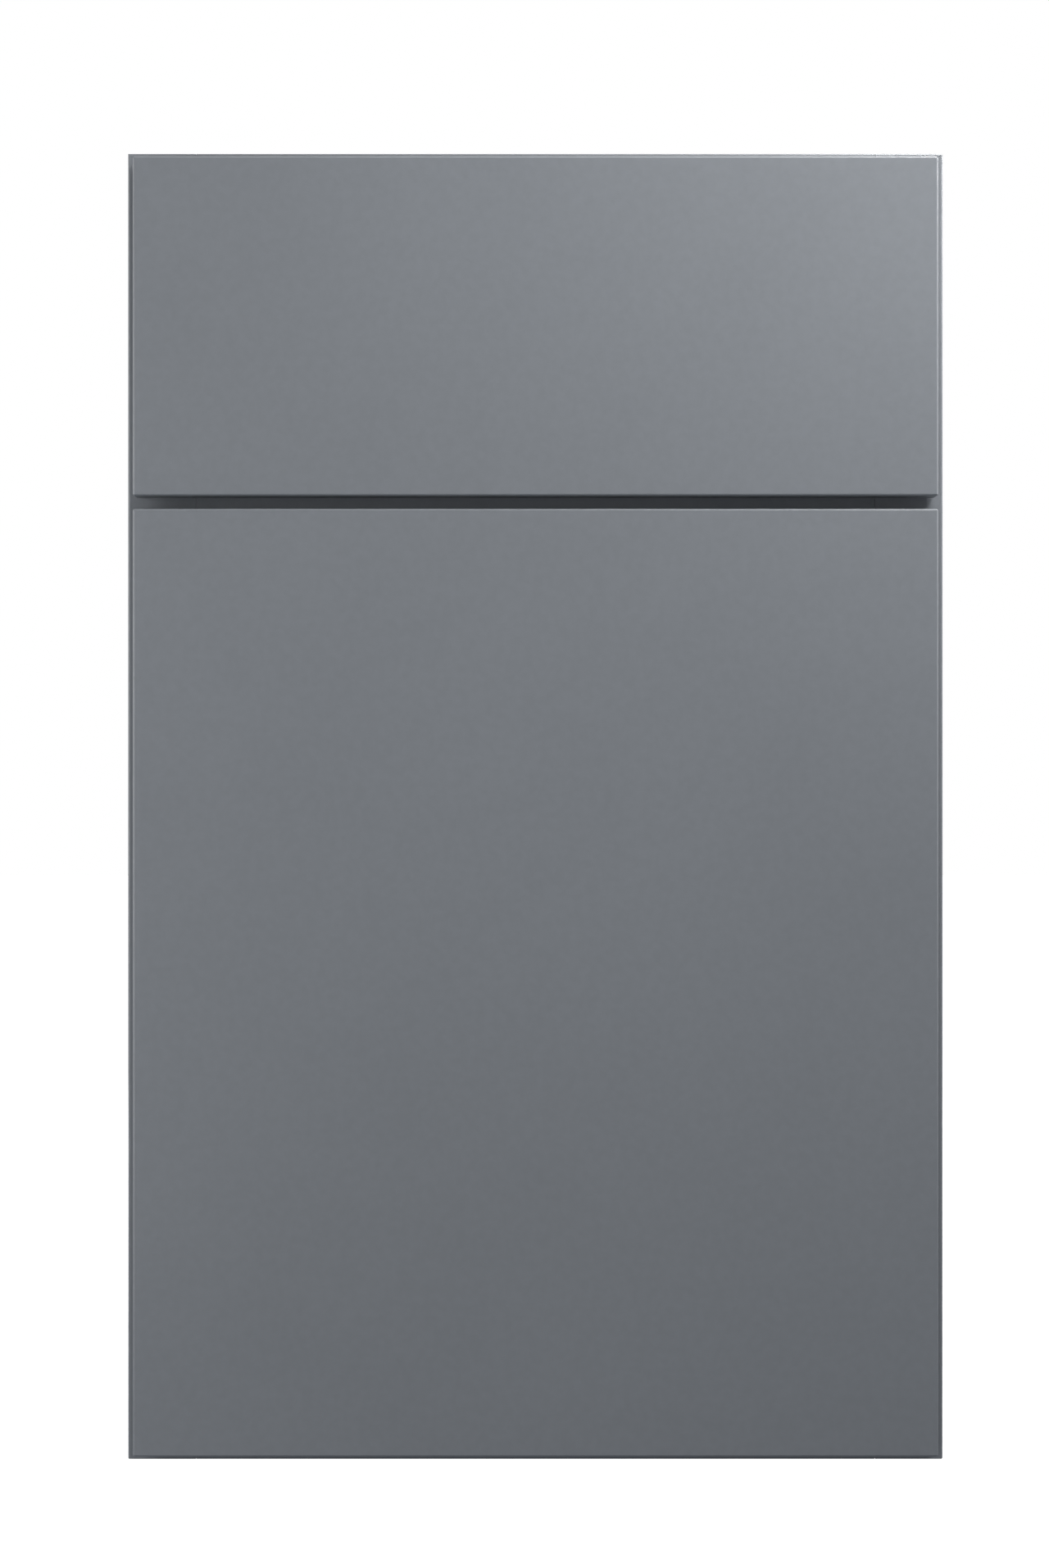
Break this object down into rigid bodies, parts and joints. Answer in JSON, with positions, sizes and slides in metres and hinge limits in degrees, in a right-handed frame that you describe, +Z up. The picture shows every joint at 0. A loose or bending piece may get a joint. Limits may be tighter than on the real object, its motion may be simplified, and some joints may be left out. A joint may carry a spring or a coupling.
{
  "type": "pantry cabinet",
  "caption": "Face-frame storage cabinet with a slab drawer front over a slab door, a plywood case with an adjustable shelf, and a dovetailed drawer on undermount runners.",
  "frame": {"origin": "on the floor plane, under the middle of the cabinet's overall box", "axes": "+Z up; the drawer front and the door face -Y; +X to the right as seen from the front"},
  "size_m": [0.4572, 0.631, 0.7326],
  "materials": {
    "slate_paint": "satin",
    "maple_plywood": "satin",
    "maple": "satin",
    "zinc_steel": "satin",
    "nickel_steel": "polished",
    "screw_steel": "satin",
    "grey_plastic": "matt",
    "orange_plastic": "matt",
    "bumper_urethane": "gloss"
  },
  "bodies": {
    "case": {"side_panel_left": "slate_paint", "side_panel_right": "slate_paint", "bottom_panel": "maple_plywood", "top_panel": "slate_paint", "back_panel": "maple_plywood", "hanging_rail_top": "maple_plywood", "hanging_rail_middle": "maple_plywood", "hanging_rail_bottom": "maple_plywood", "stile_left": "slate_paint", "stile_right": "slate_paint", "rail_top": "slate_paint", "rail_middle": "slate_paint", "rail_bottom": "slate_paint", "shelf": "maple_plywood", "shelf_edge_band": "maple", "shelf_pin_front_left": "nickel_steel", "shelf_pin_back_left": "nickel_steel", "shelf_pin_front_right": "nickel_steel", "shelf_pin_back_right": "nickel_steel", "runner_cabinet_rail_left": "zinc_steel", "runner_cabinet_rail_right": "zinc_steel", "runner_rear_bracket_left": "grey_plastic", "runner_rear_bracket_right": "grey_plastic", "soft_closer_left": "grey_plastic", "soft_closer_right": "grey_plastic", "hinge_arm_lower": "nickel_steel", "hinge_arm_upper": "nickel_steel", "arm_screw_lower_bottom": "screw_steel", "arm_screw_lower_top": "screw_steel", "arm_screw_upper_bottom": "screw_steel", "arm_screw_upper_top": "screw_steel"},
    "drawer": {"drawer_front": "slate_paint", "drawer_box_front": "maple", "drawer_box_back": "maple", "drawer_side_left": "maple", "drawer_side_right": "maple", "drawer_bottom": "maple_plywood", "drawer_front_screw_left": "screw_steel", "drawer_front_screw_right": "screw_steel", "drawer_bumper_left": "bumper_urethane", "drawer_bumper_right": "bumper_urethane", "runner_drawer_rail_left": "zinc_steel", "runner_drawer_rail_right": "zinc_steel", "drawer_catch_left": "grey_plastic", "drawer_catch_right": "grey_plastic"},
    "runner_middle_left": {"runner_middle_rail_left": "zinc_steel"},
    "runner_middle_right": {"runner_middle_rail_right": "zinc_steel"},
    "door": {"door_panel": "slate_paint", "door_bumper_bottom": "bumper_urethane", "door_bumper_top": "bumper_urethane", "hinge_cup_lower": "nickel_steel", "hinge_cup_upper": "nickel_steel", "hinge_pin_lower": "nickel_steel", "hinge_pin_upper": "nickel_steel", "cup_screw_lower_bottom": "screw_steel", "cup_screw_lower_top": "screw_steel", "cup_screw_upper_bottom": "screw_steel", "cup_screw_upper_top": "screw_steel"},
    "catch_lever_left": {"catch_lever_left": "orange_plastic"},
    "catch_lever_right": {"catch_lever_right": "orange_plastic"}
  },
  "joints": [
    {"name": "drawer_slide", "type": "slide", "parent": "case", "child": "drawer", "axis": [0, -1, 0], "range_m": [0, 0.52]},
    {"name": "runner_left_slide", "type": "slide", "parent": "case", "child": "runner_middle_left", "axis": [0, -1, 0], "range_m": [0, 0.26]},
    {"name": "runner_right_slide", "type": "slide", "parent": "case", "child": "runner_middle_right", "axis": [0, -1, 0], "range_m": [0, 0.26]},
    {"name": "door_hinge", "type": "hinge", "parent": "case", "child": "door", "pos_m": [-0.2161, -0.30585, 0.2681], "axis": [0, 0, -1], "range_deg": [0, 105]},
    {"name": "catch_lever_left_turn", "type": "hinge", "parent": "drawer", "child": "catch_lever_left", "pos_m": [-0.13945, -0.24635, 0.576], "axis": [0, 0, -1], "range_deg": [0, 15]},
    {"name": "catch_lever_right_turn", "type": "hinge", "parent": "drawer", "child": "catch_lever_right", "pos_m": [0.13945, -0.24635, 0.576], "axis": [0, 0, 1], "range_deg": [0, 15]}
  ],
  "couplings": [
    {"joint": "runner_left_slide", "follows": "drawer_slide", "ratio": 0.5},
    {"joint": "runner_right_slide", "follows": "drawer_slide", "ratio": 0.5}
  ]
}
